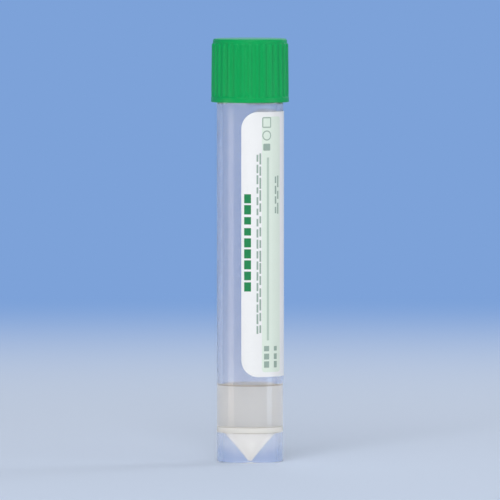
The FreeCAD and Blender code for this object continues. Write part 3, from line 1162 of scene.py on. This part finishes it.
@dataclass(frozen=True)
class Softbox:
    """A soft lamp that faces the tube: degrees right of the camera, degrees up, metres and watts."""

    name: str
    turn: float
    rise: float
    distance: float
    width: float
    height: float
    power: float
    on_floor: bool = False
    reach: Reach = Reach.ALL
    colour: str = "#FFFFFF"

    def build(self, target: Vector) -> None:
        """Set the lamp up, upright on the floor or tilted, unseen by the camera itself.

        Args:
            target: What it faces.
        """
        lamp = bpy.data.lights.new(self.name, "AREA")
        lamp.shape = "RECTANGLE"
        lamp.size, lamp.size_y = self.width, self.height
        lamp.energy = self.power
        lamp.color = linear(self.colour)[:3]
        turn, rise = math.radians(self.turn), math.radians(self.rise)
        level = math.cos(rise)
        away = Vector((math.sin(turn) * level, -math.cos(turn) * level, math.sin(rise)))
        holder = placed(self.name, lamp)
        holder.location = target + away * self.distance
        if self.on_floor:
            holder.location.z = self.height / 2
        holder.rotation_euler = away.to_track_quat("Z", "Y").to_euler()
        holder.visible_camera = False
        holder.visible_diffuse = self.reach is not Reach.GLOSS
        holder.visible_glossy = self.reach is not Reach.MATT
        holder.visible_transmission = self.reach is Reach.ALL


@dataclass
class Studio:
    """An endless pale floor that turns blue with distance, soft lamps and a long lens. Metres."""

    floor_radius: float = 14.0
    floor_faces: int = 64
    board_colour: str = "#D6E3F8"
    near_colour: str = "#C8D7EE"
    far_colour: str = "#7DA2D9"
    bounce_colour: str = "#E8E8E6"
    blue_from: float = 0.06
    blue_to: float = 0.6
    board_roughness: float = 0.9
    light_colour: str = "#FFFFFF"
    light_strength: float = 0.2
    gain_per_wall: float = 2.75
    most_walls: int = 4
    camera_distance: float = 1.8
    camera_rise: float = 2.7
    view_height: float = 0.0945
    sensor_width: float = 36.0
    sees_from: float = 0.05
    sees_to: float = 20.0
    lamps: tuple[Softbox, ...] = (
        Softbox("strip_left", -68, 0, 0.11, 0.045, 0.07, 0.023, True, Reach.GLOSS, "#FFEEDC"),
        Softbox("strip_right", 69.5, 0, 0.11, 0.04, 0.07, 0.023, True, Reach.GLOSS, "#DCEBFF"),
        Softbox("softbox_front", -8, 24, 1.5, 0.9, 1.2, 14.2, reach=Reach.MATT),
        Softbox("softbox_left", -62, 20, 1.4, 0.9, 1.0, 0.3),
        Softbox("softbox_right", 60, 16, 1.4, 0.8, 1.0, 1.9),
        Softbox("softbox_rim", 125, 12, 1.2, 0.5, 0.9, 4.5, reach=Reach.MATT),
        Softbox("softbox_back", 165, 35, 1.4, 1.2, 1.0, 3.0),
        Softbox("softbox_top", 0, 78, 1.3, 1.2, 1.2, 4.2),
    )

    def build(self) -> None:
        """Set up the floor, the lamps, the world and the camera."""
        low, high = (Vector(corner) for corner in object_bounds())
        middle = (low + high) / 2
        self.floor()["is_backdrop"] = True
        for lamp in self.lamps:
            lamp.build(middle)
        self.light_world()
        self.place_camera(middle)
        log.info("studio: %d lamps, camera %.1f m off", len(self.lamps), self.camera_distance)

    def floor(self) -> Object:
        """Make the floor, one round sheet.

        Returns:
            The floor.
        """
        shape = bmesh.new()
        edge = {"segments": self.floor_faces, "radius": self.floor_radius}
        bmesh.ops.create_circle(shape, cap_ends=True, **edge)
        mesh = bpy.data.meshes.new("studio_floor")
        shape.to_mesh(mesh)
        shape.free()
        mesh.materials.append(self.floor_material())
        return placed("studio_floor", mesh)

    def floor_material(self) -> Material:
        """Make sprayed studio board: pale near by, the backdrop's blue far off, white where it lights.

        Returns:
            The material.
        """
        material = bpy.data.materials.new("graduated_studio_board")
        tree = empty_tree(material)
        place = add_node(tree, "ShaderNodeTexCoord")["Object"]
        distance = add_node(tree, "ShaderNodeVectorMath", {0: place}, operation="LENGTH")["Value"]
        inputs = {"Value": distance, "From Min": self.blue_from, "From Max": self.blue_to}
        share = add_node(tree, "ShaderNodeMapRange", inputs, interpolation_type="SMOOTHSTEP")["Result"]
        plain = {"Roughness": self.board_roughness, "Specular IOR Level": 0.0}
        board, bounce = (
            add_node(tree, "ShaderNodeBsdfPrincipled", plain | {"Base Color": linear(colour)})[0]
            for colour in (self.board_colour, self.bounce_colour)
        )
        inputs = {0: share, 6: linear(self.near_colour), 7: linear(self.far_colour)}
        shade = add_node(tree, "ShaderNodeMix", inputs, data_type="RGBA")[2]
        flat = add_node(tree, "ShaderNodeEmission", {"Color": shade})[0]
        # Only the eye sees the board's own shading and shadow: gloss and glass show its plain colour.
        camera = add_node(tree, "ShaderNodeLightPath")["Is Camera Ray"]
        lit = work_out(tree, ("MULTIPLY", ("SUBTRACT", 1.0, share), camera))
        shown = add_node(tree, "ShaderNodeMixShader", {0: lit, 1: flat, 2: board})[0]
        mixed = add_node(tree, "ShaderNodeMixShader", {0: self.seen(tree), 1: bounce, 2: shown})[0]
        add_node(tree, "ShaderNodeOutputMaterial", {"Surface": mixed})
        return material

    @staticmethod
    def seen(tree: NodeTree) -> NodeSocket:
        """Tell rays that show the backdrop, straight or in gloss or glass, from rays that light.

        Args:
            tree: The shader tree.

        Returns:
            1 for a ray that shows it, 0 for another.
        """
        path = add_node(tree, "ShaderNodeLightPath")
        mirrored = ("MAXIMUM", path["Is Glossy Ray"], path["Is Transmission Ray"])
        seen = ("MAXIMUM", path["Is Camera Ray"], mirrored)
        return work_out(tree, ("MULTIPLY", seen, ("LESS_THAN", path["Diffuse Depth"], NONE_YET)))

    def light_world(self) -> None:
        """Fill the room with even white light, and show its blue to the eye, to gloss and to glass."""
        world = bpy.data.worlds.new("even_light")
        tree = empty_tree(world)
        # A milky wall passes the light that it scatters, which the shader sends back, so the light is
        # raised again for each surface of the wall that it has crossed.
        crossed = add_node(tree, "ShaderNodeLightPath")["Transmission Depth"]
        least, walls = self.light_strength, self.most_walls
        most = least * (1 + self.gain_per_wall * walls)
        inputs = {"Value": crossed, "From Max": walls, "To Min": least, "To Max": most}
        strength = add_node(tree, "ShaderNodeMapRange", inputs)["Result"]
        inputs = {"Color": linear(self.light_colour), "Strength": strength}
        light = add_node(tree, "ShaderNodeBackground", inputs)[0]
        inputs = {"Color": linear(self.far_colour), "Strength": 1.0}
        backdrop = add_node(tree, "ShaderNodeBackground", inputs)[0]
        mixed = add_node(tree, "ShaderNodeMixShader", {0: self.seen(tree), 1: light, 2: backdrop})[0]
        add_node(tree, "ShaderNodeOutputWorld", {"Surface": mixed})
        bpy.context.scene.world = world

    def place_camera(self, middle: Vector) -> None:
        """Aim a long lens at the object's middle, from the front.

        Args:
            middle: The object's middle.
        """
        lens = bpy.data.cameras.new("long_lens")
        lens.sensor_width = self.sensor_width
        lens.lens = lens.sensor_width * self.camera_distance / self.view_height
        lens.clip_start, lens.clip_end = self.sees_from, self.sees_to
        rise = math.radians(self.camera_rise)
        away = Vector((0.0, -math.cos(rise), math.sin(rise)))
        camera = placed("camera", lens)
        camera.location = middle + away * self.camera_distance
        camera.rotation_euler = away.to_track_quat("Z", "Y").to_euler()
        bpy.context.scene.camera = camera


def main() -> None:
    """Build the object's pieces and the studio."""
    logging.basicConfig(level=logging.INFO, format="%(name)s: %(message)s")
    bpy.context.scene.view_settings.view_transform = "Standard"
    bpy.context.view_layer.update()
    tube = TubeBody()
    tube.build()
    LiquidMedium(tube).build()
    ScrewCap().build()
    CapLiner().build()
    Label().build()
    Studio().build()
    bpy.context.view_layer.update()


if __name__ == "__main__":
    main()
